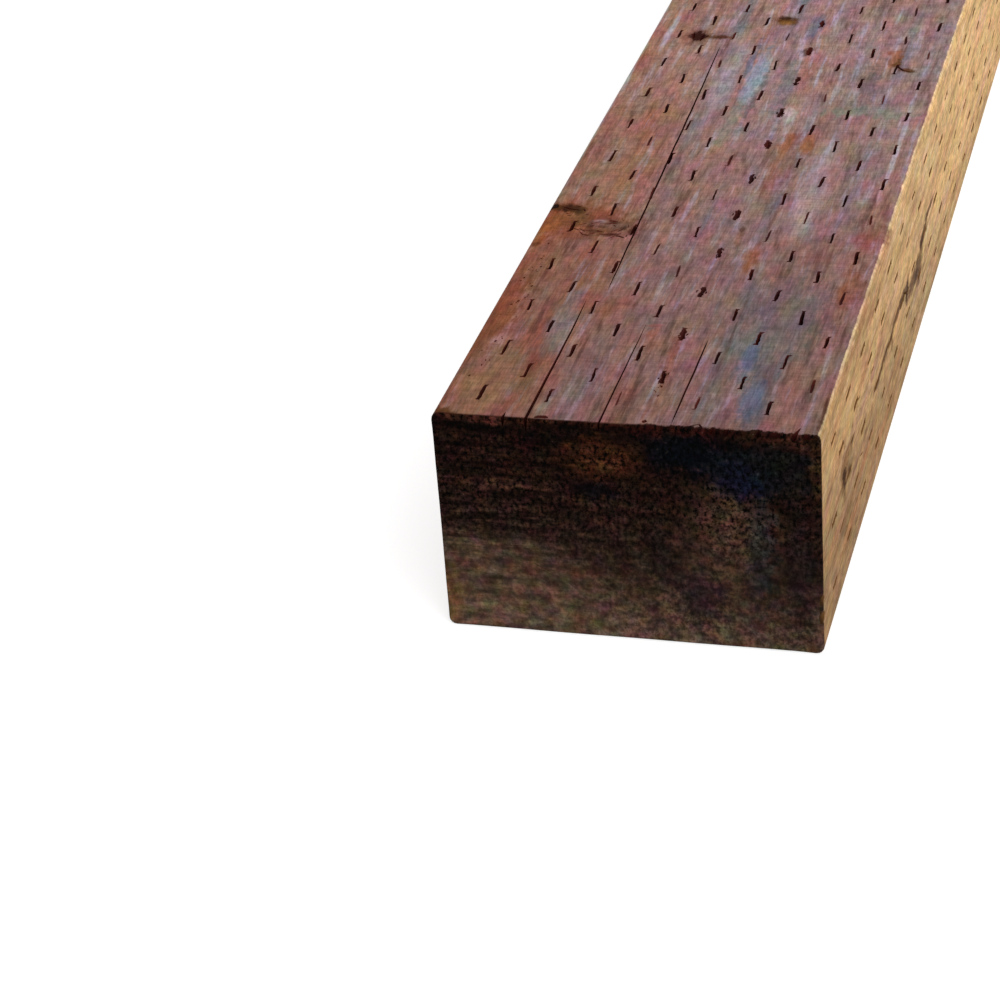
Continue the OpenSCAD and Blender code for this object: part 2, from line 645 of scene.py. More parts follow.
def make_object(name, mesh, corner):
    data = bpy.data.meshes.new(name)
    places = [(corner + place) * MM for place in mesh.places]
    data.from_pydata(places, [], mesh.polygons)
    depth = data.attributes.new("recess_depth", "FLOAT", "CORNER")
    depth.data.foreach_set("value", mesh.corner_depths)
    layer = data.uv_layers.new(name="OFBake")
    layer.uv.foreach_set("vector", [c for uv in mesh.uvs for c in uv])
    data.shade_smooth()
    data.set_sharp_from_angle(angle=SHARP_ANGLE)
    data.validate()
    return add_object(name, data)


# ---- checks and splits

def chip(across, length, width, depth, lean=0.4):
    """A chip that the saw tore out of a face's near edge."""
    path = [(across, END_ROUND), (across + lean, END_ROUND + length)]
    return crack(path, width, depth, -1, step=CHIP_STEP, blunt=0.8)


def fissure(width, depth, *path):
    """A short fine check in or beside a knot."""
    return crack(list(path), width, depth, wander=0.3, step=FISSURE_STEP, blunt=0.5)


def tears(centre, reach, count, half, curl=0):
    """Short shallow tears over an ellipse: along the grain or, with curl 1, round its centre."""
    rng = random.Random(f"{SEED} tears {centre}")
    found = []
    for _ in range(count):
        angle = rng.uniform(-math.pi, math.pi)
        share = math.sqrt(rng.uniform(0.03, 1))
        heading = math.pi / 2 + curl * angle + rng.gauss(0, 0.12 + 0.35 * curl)
        length = half * rng.uniform(0.5, 1.2)
        place = Vector((reach[0] * math.cos(angle), reach[1] * math.sin(angle))) * share
        arm = Vector((math.cos(heading), math.sin(heading))) * length
        path = [tuple(Vector(centre) + place + way * arm) for way in (-1, 0.1, 1)]
        found.append(fissure(rng.uniform(0.6, 1.2), rng.uniform(0.25, 0.9), *path))
    return found


def top_splits():
    """The drying checks, chips and splits of the top face, at their places (across, along)."""
    edge = END_ROUND
    long_check = [(41, 104), (39.8, 160), (39.2, 200), (37.6, 280), (35.6, 360)]
    return [
        crack([(35, edge), (35.2, 50), (34.6, 97)], 1.2, 6, -1, 0.25, blunt=0.4),
        crack([(61.5, edge), (61.8, 80)], 0.8, 4, -1, 0.25, blunt=0.4),
        crack([(87, 1.6), (87.2, 70)], 0.75, 3, 0, 0.25, blunt=0.3),
        crack(long_check, 0.85, 10, 0, 0.2, blunt=0.3),
        crack([(37.6, 1.6), (39, 2.6), (41.2, 2.8), (43, 1.8)], 2.4, 2, 0, 0, 1, 0.4),
        crack([(92, 1.4), (94.4, 3), (96.6, 4.2), (98.4, 1.6)], 0.9, 1.4, 0, 0, 1.5, 0.3),
        crack([(77, 2.6), (77.3, 5.4)], 2, 2, 0, 0, 1),
        chip(26.6, 4, 1.2, 4, 0.1),
        chip(101.5, 1.8, 1.6, 1.5),
        chip(107, 1.6, 1.8, 1.5),
        chip(118, 2.8, 1.2, 2),
        chip(130.8, 6, 1.9, 2.4, 1.4),
        chip(124, 1.2, 4.6, 1.3),
        chip(135.2, 1.4, 3, 1.2),
        fissure(1.1, 1.8, (4.5, 178.5), (9, 176.6), (15, 175.6)),
        fissure(1.2, 0.5, (17, 156.4), (19.4, 153.4), (23, 152.6)),
        fissure(1.2, 0.5, (25, 154.4), (28, 154.2), (31, 154.6)),
        fissure(1.4, 0.6, (32, 153.6), (35, 152.8), (37.6, 151.2)),
        *tears((28, 160), (13, 9.5), 28, 2.2, 0.7),
        *tears((12, 175), (7, 5), 8, 1.8, 1),
        *tears((8, 84), (3.6, 60), 30, 0.9),
        *tears((77, 26), (1.4, 5), 6, 0.9),
        fissure(1.6, 2, (20.4, 374.4), (21.2, 366)),
        fissure(1.6, 2.5, (25.6, 373), (25, 362.8)),
        fissure(0.6, 1, (27.5, 368.4), (33, 368), (39, 369.2)),
        fissure(1.3, 1, (117.5, 344), (119.6, 339), (122, 335.6), (127, 333.6)),
        fissure(0.8, 1, (55.5, 394.4), (60, 395.6), (64, 394.2)),
    ]


def right_splits():
    """The checks, chips and splits of the right face."""
    long_check = [(49, 124), (47.6, 140), (46.4, 156), (48, 170), (45.6, 184), (45.6, 198)]
    return [
        crack(long_check, 1.2, 8, 0, 0.4, 5),
        crack([(45.8, 200), (47, 209), (50, 217), (51.8, 226)], 1.1, 4, 0, 0.4, 4),
        crack([(49.6, 261), (46.4, 270), (44, 288)], 1.2, 3, 0, 0.4, 4),
        fissure(1.3, 1.4, (47.5, 54), (48.4, 60), (48.6, 68)),
        fissure(1.2, 1.2, (38.4, 64), (38.8, 75)),
        fissure(1, 1, (35.2, 62), (35.4, 68)),
        fissure(1.3, 1.4, (36.6, 116), (36.4, 126)),
        fissure(1.2, 1.2, (37.2, 130), (37, 138)),
        fissure(1.2, 1.2, (33.4, 142), (33, 150)),
        *tears((37, 96), (8, 34), 18, 3.6),
        *tears((62, 60), (9, 44), 12, 4),
        chip(66, 2.2, 5, 1.2),
        chip(73.4, 3.6, 6, 1.6),
    ]


# ---- nodes

def srgb(red, green, blue):
    """A colour given by its 0 to 255 screen values, as Blender's linear colour."""
    shares = (value / 255 for value in (red, green, blue))
    return tuple(s / 12.92 if s <= 0.04045 else ((s + 0.055) / 1.055) ** 2.4 for s in shares)


class Net:
    """Short calls for a tree of nodes. They take sockets or plain values and return a socket."""

    def __init__(self, tree):
        self.tree = tree
        self.shader = tree.nodes.get("Principled BSDF")  # None in the world's tree

    def feed(self, socket, value):
        if isinstance(value, bpy.types.NodeSocket):
            self.tree.links.new(value, socket)
        elif socket.type == "RGBA":
            socket.default_value = (*value, 1) if len(value) == 3 else value
        else:
            socket.default_value = value

    def node(self, kind, *values, **settings):
        made = self.tree.nodes.new(kind)
        for name, value in settings.items():
            setattr(made, name, value)
        for socket, value in zip(made.inputs, values):
            self.feed(socket, value)
        return made

    def maths(self, operation, *values):
        return self.node("ShaderNodeMath", *values, operation=operation).outputs[0]

    def plus(self, one, other):
        return self.maths("ADD", one, other)

    def less(self, one, other):
        return self.maths("SUBTRACT", one, other)

    def times(self, one, other):
        return self.maths("MULTIPLY", one, other)

    def fit(self, value, factor, shift):
        """value times factor, plus shift."""
        return self.maths("MULTIPLY_ADD", value, factor, shift)

    def vector(self, operation, *values):
        return self.node("ShaderNodeVectorMath", *values, operation=operation).outputs[0]

    def length(self, vector):
        return self.node("ShaderNodeVectorMath", vector, operation="LENGTH").outputs["Value"]

    def dot(self, one, other):
        made = self.node("ShaderNodeVectorMath", one, other, operation="DOT_PRODUCT")
        return made.outputs["Value"]

    def combine(self, x=0, y=0, z=0):
        return self.node("ShaderNodeCombineXYZ", x, y, z).outputs[0]

    def parts(self, vector):
        return self.node("ShaderNodeSeparateXYZ", vector).outputs

    def blend(self, share, one, other, mode="MIX"):
        made = self.node("ShaderNodeMix", data_type="RGBA", blend_type=mode)
        for place, value in zip((0, 6, 7), (share, one, other)):
            self.feed(made.inputs[place], value)
        return made.outputs[2]

    def between(self, share, one, other):
        """A number between two others."""
        made = self.node("ShaderNodeMix", share, data_type="FLOAT")
        self.feed(made.inputs[2], one)
        self.feed(made.inputs[3], other)
        return made.outputs[0]

    def rise(self, value, low, high, start=0, stop=1):
        """A smooth rise from start, where value is low, to stop, where it is high."""
        values = (value, low, high, start, stop)
        made = self.node("ShaderNodeMapRange", *values, interpolation_type="SMOOTHSTEP")
        return made.outputs[0]

    def lay(self, colour, over, value, low, high, most=1):
        """A colour with another over it where the value rises from low to high."""
        return self.blend(self.rise(value, low, high, 0, most), colour, over)

    def noise(self, place, feature, detail=2, rough=0.5, colour=False):
        """Noise about 0.5 whose features are about that many millimetres along x, y and z."""
        scaled = self.vector("DIVIDE", place, feature)
        made = self.node("ShaderNodeTexNoise", scaled, 0, 1, detail, rough)
        return made.outputs["Color" if colour else "Fac"]

    def scale(self, colour, *factors):
        """A colour times other colours."""
        for factor in factors:
            colour = self.blend(1, colour, factor, "MULTIPLY")
        return colour

    def swing(self, noise, amount):
        """A colour that strays about white by that amount, as the noise strays about grey."""
        return self.blend(amount, WHITE, noise, "LINEAR_LIGHT")

    def grey(self, value):
        return self.node("ShaderNodeCombineColor", value, value, value).outputs[0]

    def ramp(self, value, *stops):
        made = self.node("ShaderNodeValToRGB", value)
        marks = made.color_ramp.elements
        while len(marks) < len(stops):
            marks.new(1)
        for mark, (place, colour) in zip(marks, stops):
            mark.position = place
            mark.color = (*colour, 1)
        return made.outputs[0]


def new_material(name):
    material = bpy.data.materials.new(name)
    material.use_nodes = True
    return material, Net(material.node_tree)


# ---- wood

WHITE = (1, 1, 1)
# Stained faces
MAUVE = srgb(152, 120, 114)
ROSE = srgb(162, 124, 114)
RUSTY = srgb(154, 108, 90)
SLATE = srgb(130, 122, 124)
# a lilac tint of the stain, also used as a painted sky sheen on the top
LILAC_AND_SHEEN = srgb(176, 158, 166)
UMBER = srgb(104, 72, 64)
# The pale face
GOLD = srgb(222, 184, 130)
STRAW = srgb(208, 170, 124)
SAND = srgb(168, 130, 90)
PINK = srgb(210, 166, 134)
# pale worn wood, also a painted highlight along the pale face's arrises
WORN_AND_HIGHLIGHT = srgb(236, 206, 170)
# Knots, stains, and the insides of recesses, which are darkened by painted shade
RUST = srgb(132, 76, 50)
ORANGE = srgb(156, 92, 56)
BRICK = srgb(142, 82, 74)
OCHRE = srgb(140, 106, 76)
BLUE = srgb(94, 102, 122)
SKY = srgb(140, 149, 165)
GREY = srgb(106, 98, 100)
GREEN = srgb(132, 130, 116)
# pale patches, and a painted highlight along the left arris
PALE_AND_HIGHLIGHT = srgb(184, 172, 168)
KNOT = srgb(24, 9, 5)
KNOT_BROWN = srgb(94, 56, 26)
BARK = srgb(74, 42, 28)
EMBER = srgb(146, 82, 42)
CHESTNUT = srgb(120, 74, 54)
HONEY = srgb(132, 90, 42)
RESIN = srgb(46, 24, 14)
SMEAR = srgb(80, 53, 36)
RUSSET = srgb(176, 114, 76)
INSIDE_STAIN_AND_SHADE = srgb(54, 19, 17)
RED_INSIDE_AND_SHADE = srgb(78, 27, 20)
PALE_INSIDE_AND_SHADE = srgb(112, 76, 40)
# End grain
END_SPECK = srgb(134, 114, 96)
END_PALE = srgb(92, 71, 56)
END_RIM = srgb(46, 20, 12)

PITH = (17, -8)  # x and z of the growth rings' middle, below the beam
END_SHADE_REACH = 330  # how far from an end the painted shade that darkens the faces reaches

# What a colour is multiplied by: over the top face's width, and from an end on as far as the painted end
# shade reaches, where it is painted shade that is darkest at the end
ACROSS_TINTS = [
    (0, (0.98, 0.85, 0.73)), (0.25, (1, 0.96, 0.95)), (0.5, (0.99, 1.04, 1.17)),
    (0.75, (0.99, 1.04, 1.12)), (1, (0.99, 1.06, 1.16)),
]
BROWN_END_SHADE = [
    (0, (0.68, 0.6, 0.57)), (0.25, (0.7, 0.63, 0.6)), (0.6, (0.85, 0.8, 0.78)), (1, (0.98,) * 3),
]
PALE_END_SHADE = [(0, (0.76, 0.7, 0.66)), (0.5, (0.9, 0.85, 0.83)), (0.8, WHITE), (1, (1.14, 1.13, 1.1))]
# The end grain's colours from its foot to its top
END_TONES = [
    (0.1, srgb(90, 70, 57)), (0.3, srgb(65, 47, 38)), (0.47, srgb(38, 25, 20)),
    (0.75, srgb(28, 14, 10)), (0.98, srgb(17, 7, 5)),
]

# Stains: each has its place, how far it reaches both ways, its colour, its strength and,
# where its edge isn't as soft as most, its softness. On the top face the place is (x, y),
# on the right face (down from the top, y) and on an end (x, z), with a plain screen colour.
# Weathered streaks and soaked patches, and lilac streaks that are partly painted sheen
TOP_STREAKS = [
    (3, 80, 12, 36, RUST, 0.8), (6, 128, 10, 30, RUST, 0.5), (14, 28, 14, 30, OCHRE, 0.5),
    (30, 77, 6.4, 34, SLATE, 0.6, 1), (15, 168, 22, 19, RUST, 0.8, 0.7),
    (76.4, 58, 2.4, 18, RUST, 0.6), (42, 92, 14, 9, RUST, 0.4), (20, 215, 18, 30, OCHRE, 0.35),
    (104, 62, 5, 22, GREY, 0.7), (110, 46, 6, 26, GREY, 0.55), (82, 159, 2.4, 9, RUST, 0.5),
    (66, 70, 2.4, 6, ORANGE, 0.4), (112, 92, 18, 34, GREY, 0.6), (58.5, 318, 4, 44, SKY, 0.85),
    (62.5, 300, 1.6, 40, GREY, 0.7), (53.5, 340, 2, 30, BLUE, 0.7), (57, 270, 5, 26, GREEN, 0.7),
    (75, 384, 4, 18, BLUE, 0.7), (73, 315, 3.4, 40, SLATE, 0.9), (76.4, 300, 2, 44, GREY, 0.55),
    (90, 137, 4.6, 15, ORANGE, 0.7, 1), (87, 228, 6, 40, RUST, 0.5),
    (85, 252, 3, 14, ORANGE, 0.6), (93.6, 250, 3.2, 13, ORANGE, 0.8),
    (116, 351, 3.4, 13, ORANGE, 0.75), (110, 318, 5, 24, GREY, 0.7), (134, 165, 7, 17, BRICK, 0.8),
    (133, 116, 6, 20, RUST, 0.6), (125, 145, 20, 12, BRICK, 0.3),
    (81, 283, 3.4, 8, PALE_AND_HIGHLIGHT, 0.75, 0.7), (114, 286, 24, 7, GREEN, 0.85),
    # lilac streaks: part tint, part painted sky sheen
    (46, 320, 6, 60, LILAC_AND_SHEEN, 0.45), (104, 205, 7, 60, LILAC_AND_SHEEN, 0.45),
    (3, 0, 7, 4, KNOT_BROWN, 0.9, 0.7),
]
# The dark wood round the knots, and other marks of a firmer outline, with a painted highlight along the left
# arris
TOP_MARKS = [
    # first a painted highlight along the left arris
    (0, 330, 2.2, 150, PALE_AND_HIGHLIGHT, 0.9), (131.6, 240, 1.3, 50, LILAC_AND_SHEEN, 1), (9, 376, 1.6, 30, LILAC_AND_SHEEN, 1),
    (138, 20, 1, 26, BARK, 0.8, 1), (111.4, 24, 4.4, 19, BLUE, 0.8),
    (104.8, 56, 3.4, 19, BLUE, 0.8), (5, 163, 7, 12, EMBER, 0.8), (3, 146, 4, 8, EMBER, 0.7),
    (3, 142, 2.4, 2.6, BARK, 0.6), (9, 176.4, 9, 6, KNOT_BROWN, 0.9),
    (8, 176.8, 6.5, 4.6, RESIN, 0.8), (13, 173.6, 3.4, 2.4, RESIN, 0.5),
    (24, 162, 22, 15, CHESTNUT, 0.75, 1), (28, 163.4, 10, 5, GREY, 0.3, 1),
    (23, 156.6, 5, 2.2, BARK, 0.7), (31, 153.6, 6, 2, BARK, 0.8),
    (38.6, 157, 2.6, 4, BARK, 0.9), (24, 166, 3, 1.6, PALE_AND_HIGHLIGHT, 0.25),
    (20.6, 160, 1.8, 3.6, BARK, 0.7), (25.6, 161.4, 2.2, 1.5, BARK, 0.7),
    (30, 165.6, 2.2, 1.8, BARK, 0.8), (34.6, 160.6, 1.6, 2.4, BARK, 0.8),
    (15, 163, 2.4, 4, KNOT_BROWN, 0.5), (18, 170, 4, 5, KNOT_BROWN, 0.5),
    (33, 369, 9, 2.4, KNOT_BROWN, 0.85), (34, 368.6, 3, 3, BARK, 0.7),
    (59.6, 391.6, 6.4, 7, KNOT_BROWN, 1), (60.6, 388.6, 4.4, 3.6, HONEY, 0.8),
    (59.4, 395, 4.6, 3.2, RESIN, 0.6), (76.4, 354, 2.8, 5.4, BARK, 0.85),
    (81.8, 165, 1.6, 3.6, BARK, 0.75), (65, 77.4, 3.6, 1.6, BRICK, 0.7),
    (118.4, 343, 2.4, 6, KNOT_BROWN, 0.9), (123.4, 335.6, 4.4, 2.8, KNOT_BROWN, 0.9),
]
RIGHT_MARKS = [
    (48.4, 136, 2.4, 16, SMEAR, 0.8), (46.8, 154, 2.2, 14, SMEAR, 0.8),
    (48, 170, 2.6, 8, SMEAR, 0.9), (52, 173, 3.2, 3, SMEAR, 0.7), (45.8, 188, 3, 20, SMEAR, 0.8),
    (46.6, 206, 3.2, 12, SMEAR, 0.85), (49.8, 218, 6.4, 7, SMEAR, 1),
    (54, 237, 5.6, 18, SMEAR, 0.85), (57, 255, 8, 14, SMEAR, 0.8), (48.6, 263, 4.6, 9, SMEAR, 1),
    (46.6, 272, 3.4, 12, SMEAR, 0.85), (44, 286, 2.2, 14, SMEAR, 0.8), (44, 64, 7, 9, SMEAR, 0.35),
    (48.4, 62, 2, 9, SMEAR, 0.9), (38.6, 70, 1.8, 8, SMEAR, 0.7), (48, 305, 1.6, 7, SMEAR, 0.6),
    (72, 66, 3.4, 34, RUSSET, 0.45), (64, 104, 3, 30, RUSSET, 0.4),
    (76, 140, 3, 36, RUSSET, 0.35), (27, 96, 2, 22, RUSSET, 0.3),
    (57, 24, 4, 20, RUSSET, 0.4), (66, 186, 3, 26, RUSSET, 0.35),
]
END_PATCHES = [
    (107, 44, 20, 30, (78, 56, 44), 0.6, 1), (92, 79, 20, 10, (4, 5, 9), 1),
    (114, 72, 18, 12, (8, 12, 20), 0.9), (128, 78, 14, 16, (14, 13, 13), 0.9),
    (110, 66, 10, 6, (8, 10, 34), 0.45), (59, 62, 11, 4.5, (10, 6, 10), 0.9),
    (62, 75, 17, 10, (52, 27, 14), 0.9), (33, 80, 9, 5, (22, 6, 6), 0.9),
    (118, 40, 6, 26, (34, 34, 36), 0.7), (132, 34, 6, 44, (26, 20, 20), 0.55),
    (96, 20, 11, 14, (36, 26, 28), 0.8), (82, 36, 5, 16, (26, 18, 18), 0.7),
    (30, 61, 24, 2, (62, 40, 28), 0.5), (70, 90, 70, 4, (38, 13, 8), 0.8),
    (35, 90, 50, 3.4, (50, 24, 16), 0.7), (130, 88, 22, 5, (44, 21, 13), 0.7),
    (139, 74, 4, 16, (50, 34, 18), 0.6), (2, 12, 5, 16, (104, 76, 44), 0.7),
]
STAIN_DEPTH = 9

Stain = namedtuple("Stain", "place radii colour strength soft", defaults=(0.8,))
Knot = namedtuple("Knot", "place radii heart", defaults=(KNOT,))
Figure = namedtuple("Figure", "broad streak fibre ragged patch tint")


def wood_place(net, corner):
    """The place in the wood, in millimetres from the near end's lower left corner."""
    coordinates = net.node("ShaderNodeTexCoord").outputs["Object"]
    return net.vector("SUBTRACT", net.vector("MULTIPLY", coordinates, (1 / MM,) * 3), tuple(corner))


def local_place(net, place, centre, radii):
    """A place seen from a centre, in units of the radii."""
    shift = tuple(-c / r for c, r in zip(centre, radii))
    return net.vector("MULTIPLY_ADD", place, tuple(1 / r for r in radii), shift)


def along_grain(net, place, knots):
    """The place without the grain's slow wander and its flow round the knots."""
    stray = net.noise(place, (90, 330, 90), 1)
    place = net.vector("MULTIPLY_ADD", net.combine(stray, 0, stray), (11,) * 3, place)
    for knot in knots:
        width, length, height = knot.radii
        local = local_place(net, place, knot.place, (width, 2.5 * length, height))
        ease = net.maths("DIVIDE", 1, net.plus(net.dot(local, local), 0.4))
        push = net.vector("MULTIPLY", local, net.combine(ease, 0, ease))
        push = net.vector("MULTIPLY", push, (width, 0, height))
        place = net.vector("SUBTRACT", place, push)
    return place


def wood_figure(net, place, grain):
    """The noises that the long faces' colours share."""
    return Figure(
        broad=net.noise(grain, (13, 200, 11), 3, 0.6),
        streak=net.noise(grain, (3.4, 42, 3), 3, 0.6),
        fibre=net.noise(grain, (0.8, 6, 0.7), 3, 0.65),
        ragged=net.noise(place, (3, 7, 2.6), 4, 0.65),
        patch=net.noise(place, (30, 50, 30), 2),
        tint=net.noise(place, (7.5, 18, 7.5), 2.5, 0.5, colour=True),
    )


def stained_wood(net, place, figure, from_end, width):
    """Brown preservative stain over planed softwood, with painted shade towards the ends."""
    colour = net.ramp(figure.broad, (0.3, SLATE), (0.43, MAUVE), (0.57, ROSE), (0.72, RUSTY))
    colour = net.lay(colour, RUSTY, figure.patch, 0.45, 0.72, 0.3)
    # lilac streaks: part tint of the stain, part painted sheen
    colour = net.lay(colour, LILAC_AND_SHEEN, figure.streak, 0.52, 0.7, 0.72)
    colour = net.lay(colour, UMBER, figure.streak, 0.47, 0.3, 0.68)
    x, _, _ = net.parts(place)
    across = net.ramp(net.maths("DIVIDE", x, width), *ACROSS_TINTS)
    # painted shade: the faces darken towards the ends
    end_shade = net.ramp(net.maths("DIVIDE", from_end, END_SHADE_REACH), *BROWN_END_SHADE)
    return net.scale(colour, across, end_shade)


def pale_wood(net, figure, from_end, down):
    """The narrow face that took little stain, with painted shade towards the ends."""
    colour = net.ramp(figure.broad, (0.3, SAND), (0.42, STRAW), (0.55, GOLD), (0.7, PINK))
    colour = net.lay(colour, SAND, figure.streak, 0.5, 0.3, 0.8)
    colour = net.lay(colour, WORN_AND_HIGHLIGHT, figure.streak, 0.54, 0.7, 0.5)
    # painted shade: darker towards the ends, a little lighter far from them
    end_shade = net.ramp(net.maths("DIVIDE", from_end, END_SHADE_REACH), *PALE_END_SHADE)
    # darker and greyer towards the foot of the face and towards the ends
    reach = net.fit(figure.broad, 40, net.less(down, 20))
    reach = net.fit(from_end, -0.09, reach)
    low_darkening = net.rise(reach, 18, 56)
    colour = net.blend(low_darkening, colour, net.scale(colour, (0.68, 0.69, 0.72)))
    return net.scale(colour, end_shade)


def grained(net, place, figure, paleness, colour):
    """Lays mottled tint, fibres and saw lines over a long face's colours."""
    saw = net.noise(place, (12, 0.9, 12), 2)
    saw = net.rise(saw, 0.3, 0.7, 0.9, 1.1)
    fleck = net.rise(figure.ragged, 0.3, 0.7, 0.82, 1.2)
    fibre = net.rise(figure.fibre, 0.3, 0.7, 0.8, 1.22)
    value = net.times(net.times(saw, fleck), fibre)
    amount = net.between(paleness, 0.37, 0.2)
    return net.scale(colour, net.swing(figure.tint, amount), net.grey(value))


def frayed(net, place, noise, reach):
    """The place strayed by a coloured noise, which frays the outline of what is drawn."""
    stray = net.vector("SUBTRACT", noise, (0.5,) * 3)
    return net.vector("MULTIPLY_ADD", stray, reach, place)


def end_grain(net, place, tall):
    """Rough sawn end grain, soaked dark: rings round the pith, level saw lines, pits."""
    x, _, z = net.parts(place)
    flat = net.combine(x, 0, z)
    patch = net.noise(flat, (18, 1, 12), 3, 0.6)
    tint = net.noise(flat, (6, 1, 5), 2, 0.5, colour=True)
    pits = net.noise(flat, (1.6, 1, 1.9), 4, 0.65)
    mottle = net.noise(flat, (5, 1, 3.4), 2, 0.5)
    saw = net.noise(flat, (36, 1, 3), 3, 0.6)
    from_pith = net.vector("SUBTRACT", flat, (PITH[0], 0, PITH[1]))
    radius = net.fit(patch, 14, net.length(from_pith))
    rings = net.noise(net.combine(radius), (7, 1, 1), 3, 0.6)
    tone = net.ramp(net.maths("DIVIDE", net.fit(x, 0.1, z), tall), *END_TONES)
    inner = net.rise(radius, 60, 53)
    tone = net.blend(net.times(inner, 0.45), tone, END_PALE)
    tone = add_stains(net, frayed(net, flat, tint, (12, 0, 10)), tone, pits, end_stains(END_PATCHES))
    lines = net.rise(saw, 0.38, 0.62, -0.6, 0.6)
    left = net.times(net.rise(x, 100, 20, 0.3, 1), net.rise(z, 20, 50, 0.3, 1))
    value = net.fit(lines, left, 1)
    value = net.times(value, net.rise(rings, 0.3, 0.7, 0.65, 1.35))
    value = net.times(value, net.rise(mottle, 0.32, 0.68, 0.6, 1.4))
    rough = net.times(net.rise(z, 25, 60, 0.6, 1.6), net.between(inner, 1, 0.6))
    grit = net.fit(net.rise(pits, 0.36, 0.66, -0.65, 0.95), rough, 1)
    value = net.times(value, net.maths("MAXIMUM", grit, 0))
    tone = net.scale(tone, net.swing(tint, 0.6), net.grey(value))
    return net.lay(tone, END_SPECK, pits, 0.63, 0.78, 0.3)


def add_stains(net, place, colour, ragged, stains):
    """Lays stains, each an ellipsoid with a feathered edge, over a colour."""
    fray = net.fit(ragged, 1.4, -0.7)
    for stain in stains:
        local = local_place(net, place, stain.place, stain.radii)
        reach = net.plus(net.length(local), fray)
        edge = (1.2, 1.2 - stain.soft)
        colour = net.lay(colour, stain.colour, reach, *edge, stain.strength)
    return colour


def add_knots(net, place, colour, ragged, knots):
    """Draws each knot: a ragged dark heart in a halo of resin-dark wood."""
    for knot in knots:
        local = local_place(net, place, knot.place, knot.radii)
        reach = net.fit(ragged, 2.4, net.less(net.length(local), 1.2))
        colour = net.lay(colour, KNOT_BROWN, reach, 2, 0.9, 0.55)
        colour = net.lay(colour, knot.heart, reach, 1.1, 0.5, 0.97)
    return colour


def near_knots(size):
    """The knots that the grain is drawn flowing round, at their places in the wood."""
    return [
        Knot((1.5, 178, size.z), (3, 2.8, 5)),
        Knot((23.2, 369, size.z), (4.1, 6, 5), srgb(44, 8, 2)),
        Knot((size.x, 50.5, 45.6), (5, 5.2, 6.8), srgb(58, 31, 8)),
    ]


def far_knots(size):
    """The knots of the rest of the beam."""
    return [
        Knot((77, 38.5, size.z), (1.3, 2, 3)),
        Knot((92, 905, size.z), (5, 7, 8)),
        Knot((31, 1430, size.z), (6, 8, 8)),
        Knot((112, 1985, size.z), (4, 6, 8)),
        Knot((size.x, 730, 30), (6, 8, 5)),
        Knot((size.x, 1610, 58), (6, 7, 5)),
        Knot((0, 520, 52), (7, 9, 6)),
        Knot((0, 1290, 24), (7, 8, 5)),
        Knot((55, 640, 0), (6, 8, 8)),
    ]


def top_stains(size, spots):
    return [Stain((x, y, size.z), (wide, long, STAIN_DEPTH), *rest) for x, y, wide, long, *rest in spots]


def right_stains(size, spots):
    return [
        Stain((size.x, y, size.z - down), (STAIN_DEPTH, long, wide), *rest)
        for down, y, wide, long, *rest in spots
    ]


def end_stains(spots):
    """They are looked up with y left out, so that both ends have them."""
    return [
        Stain((x, 0, z), (wide, STAIN_DEPTH, tall), srgb(*colour), *rest)
        for x, z, wide, tall, colour, *rest in spots
    ]


def recess_stain_and_shade(net, place, from_end, paleness):
    """The wood in the recesses: reddish where the stain soaked in, dark by the ends, and darker than the
    faces by painted shade.
    """
    soaked = net.noise(place, (14, 20, 14), 1)
    colour = net.lay(INSIDE_STAIN_AND_SHADE, RED_INSIDE_AND_SHADE, soaked, 0.4, 0.6)
    colour = net.blend(paleness, colour, PALE_INSIDE_AND_SHADE)
    dark = net.rise(from_end, 0, 5, 0.25, 1)
    return net.scale(colour, net.grey(dark))


def wood_colour(net, place, size, from_middle):
    """The colour of the whole beam."""
    grain = along_grain(net, place, near_knots(size))
    figure = wood_figure(net, place, grain)
    x, _, z = net.parts(place)
    from_end = net.less(size.y / 2, from_middle)
    down = net.less(size.z, z)

    brown = stained_wood(net, place, figure, from_end, size.x)
    pale = pale_wood(net, figure, from_end, down)
    inwards = net.less(size.x, x)
    edge = net.less(net.maths("MINIMUM", down, z), inwards)
    edge = net.fit(figure.ragged, 1.6, edge)
    # painted highlight along the arrises of the pale face, over its worn wood
    pale = net.lay(pale, WORN_AND_HIGHLIGHT, edge, 1.8, 0.6, 0.5)
    paleness = net.rise(edge, -0.4, 0.2)
    colour = net.blend(paleness, brown, pale)
    stray = frayed(net, place, figure.tint, (7, 24, 7))
    colour = add_stains(net, stray, colour, figure.ragged, top_stains(size, TOP_STREAKS))
    stray = frayed(net, place, figure.tint, (3, 4, 3))
    marks = top_stains(size, TOP_MARKS) + right_stains(size, RIGHT_MARKS)
    colour = add_stains(net, stray, colour, figure.ragged, marks)
    colour = grained(net, place, figure, paleness, colour)
    colour = add_knots(net, stray, colour, figure.ragged, near_knots(size) + far_knots(size))

    end = end_grain(net, place, size.z)
    chipped = net.times(net.rise(x, 66, 90), net.rise(down, 3, 1))
    creep = net.fit(chipped, 5, 1.4)
    stray = net.fit(net.less(figure.ragged, 0.5), creep, chipped)
    stray = net.plus(stray, from_middle)
    half = size.y / 2
    colour = net.lay(colour, END_RIM, stray, half - 2, half - 0.7, 0.95)
    sawn = net.maths(
        "MAXIMUM",
        net.rise(stray, half - 1, half - 0.5),
        net.rise(from_middle, half - 0.8, half - 0.4),
    )
    colour = net.blend(sawn, colour, end)
    # the recesses take their own colour by depth: soaked stain, and painted shade
    depth = net.node("ShaderNodeAttribute", attribute_name="recess_depth").outputs["Fac"]
    inside = recess_stain_and_shade(net, place, from_end, paleness)
    return net.lay(colour, inside, depth, 0, 0.3, 0.97)


